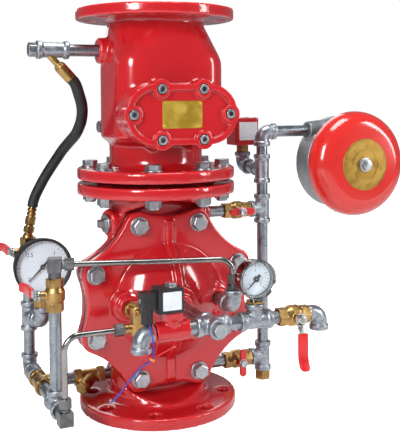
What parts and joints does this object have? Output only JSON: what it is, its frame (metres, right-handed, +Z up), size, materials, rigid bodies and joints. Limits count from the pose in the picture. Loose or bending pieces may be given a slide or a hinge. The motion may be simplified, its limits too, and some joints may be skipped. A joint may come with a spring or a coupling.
{
  "type": "sprinkler alarm valve",
  "caption": "Flanged red diaphragm alarm valve with a swing check valve on top, brass and galvanised trim, gauges, solenoid, pressure switch, hose and water motor gong.",
  "frame": {"origin": "centre of the inlet flange's lower face", "axes": "+Z up along the flow, -Y to the front where the bonnet and manifold are, +X to the gong's side"},
  "size_m": [0.7475, 0.5128, 0.7175],
  "materials": {
    "red_paint": "gloss enamel over cast iron",
    "brass": "machined brass",
    "rubber": "black rubber",
    "zinc": "hot dip galvanised",
    "steel": "stainless and plated steel",
    "dark_iron": "plain cast iron",
    "red_vinyl": "plated steel lever with a red vinyl sleeve",
    "black_case": "black enamel",
    "black_plastic": "moulded black plastic",
    "dial_white": "white enamel with printed scale",
    "lens": "clear",
    "gold_plate": "gold coloured plate, bare",
    "red_wire": "insulated wire",
    "blue_wire": "insulated wire"
  },
  "bodies": {
    "valve_set": {"valve_body": "red_paint", "seat_rings": "brass", "diaphragm": "rubber", "disc_spring": "steel", "bonnet": "red_paint", "bonnet_bolts": "zinc", "pipe_plugs": "steel", "check_body": "red_paint", "clapper_pin": "steel", "check_cover": "red_paint", "gaskets": "rubber", "cover_screws": "zinc", "flange_bolts": "zinc", "hose_fittings": "brass", "rubber_hose": "rubber", "hose_valve_body": "brass", "feed_valve_body": "brass", "pipes": "zinc", "supply_fittings": "zinc", "brass_fittings": "brass", "strainer_body": "brass", "strainer_cap": "brass", "tube_fittings": "steel", "upper_tube": "steel", "lower_tube": "steel", "port_elbow": "brass", "supply_gauge_case": "black_case", "release_gauge_case": "steel", "gauge_dials": "dial_white", "gauge_lenses": "lens", "alarm_fittings": "zinc", "test_valve_body": "brass", "alarm_valve_body": "brass", "switch_box": "red_paint", "gong_motor": "zinc", "gong_axle": "steel", "gong_shell": "red_paint", "brass_plates": "gold_plate", "manifold_fittings": "zinc", "release_valve_body": "brass", "solenoid_body": "red_paint", "solenoid_coil": "black_plastic", "solenoid_connector": "black_plastic", "wire_red": "red_wire", "wire_blue": "blue_wire"},
    "hose_valve": {"hose_valve_ball": "steel", "hose_valve_lever": "red_vinyl"},
    "feed_valve": {"feed_valve_ball": "steel", "feed_valve_lever": "red_vinyl"},
    "release_valve": {"release_valve_ball": "steel", "release_valve_lever": "red_vinyl"},
    "test_valve": {"test_valve_handle": "red_vinyl"},
    "alarm_valve": {"alarm_valve_handle": "red_vinyl"},
    "clapper": {"clapper": "brass"},
    "main_disc": {"main_disc": "dark_iron"},
    "supply_pointer": {"supply_gauge_pointer": "black_case"},
    "release_pointer": {"release_gauge_pointer": "black_case"},
    "gong_rotor": {"gong_rotor": "dark_iron"},
    "plunger": {"solenoid_plunger": "steel"}
  },
  "joints": [
    {"name": "hose_valve_turn", "type": "hinge", "parent": "valve_set", "child": "hose_valve", "pos_m": [-0.205, 0.15, 0.268], "axis": [-1, 0, 0], "range_deg": [0, 90]},
    {"name": "feed_valve_turn", "type": "hinge", "parent": "valve_set", "child": "feed_valve", "pos_m": [-0.205, -0.066, 0.233], "axis": [-1, 0, 0], "range_deg": [0, 90]},
    {"name": "release_valve_turn", "type": "hinge", "parent": "valve_set", "child": "release_valve", "pos_m": [0.144, -0.245, 0.2025], "axis": [0, -1, 0], "range_deg": [0, 90]},
    {"name": "test_valve_turn", "type": "hinge", "parent": "valve_set", "child": "test_valve", "pos_m": [0.161, 0, 0.057], "axis": [0, -1, 0], "range_deg": [0, 90]},
    {"name": "alarm_valve_turn", "type": "hinge", "parent": "valve_set", "child": "alarm_valve", "pos_m": [0.161, 0, 0.344], "axis": [0, -1, 0], "range_deg": [0, 90]},
    {"name": "clapper_swing", "type": "hinge", "parent": "valve_set", "child": "clapper", "pos_m": [0, 0.07, 0.5055], "axis": [-1, 0, 0], "range_deg": [0, 60]},
    {"name": "disc_lift", "type": "slide", "parent": "valve_set", "child": "main_disc", "axis": [0, -1, 0], "range_m": [0, 0.024], "stiffness_N_per_m": 2000, "springref_m": -0.005, "deforming": ["disc_spring", "diaphragm"]},
    {"name": "supply_pointer_turn", "type": "hinge", "parent": "valve_set", "child": "supply_pointer", "pos_m": [-0.19097, 0.09372, 0.249], "axis": [0, 1, 0], "range_deg": [0, 270], "stiffness_Nm_per_rad": 0.0005},
    {"name": "release_pointer_turn", "type": "hinge", "parent": "valve_set", "child": "release_pointer", "pos_m": [0.075, -0.245, 0.2695], "axis": [0, 1, 0], "range_deg": [0, 270], "stiffness_Nm_per_rad": 0.0005},
    {"name": "gong_spin", "type": "hinge", "parent": "valve_set", "child": "gong_rotor", "pos_m": [0.4, 0, 0.427], "axis": [0, -1, 0], "continuous": true},
    {"name": "plunger_slide", "type": "slide", "parent": "valve_set", "child": "plunger", "axis": [0, 0, 1], "range_m": [0, 0.004], "stiffness_N_per_m": 150, "springref_m": -0.003}
  ]
}
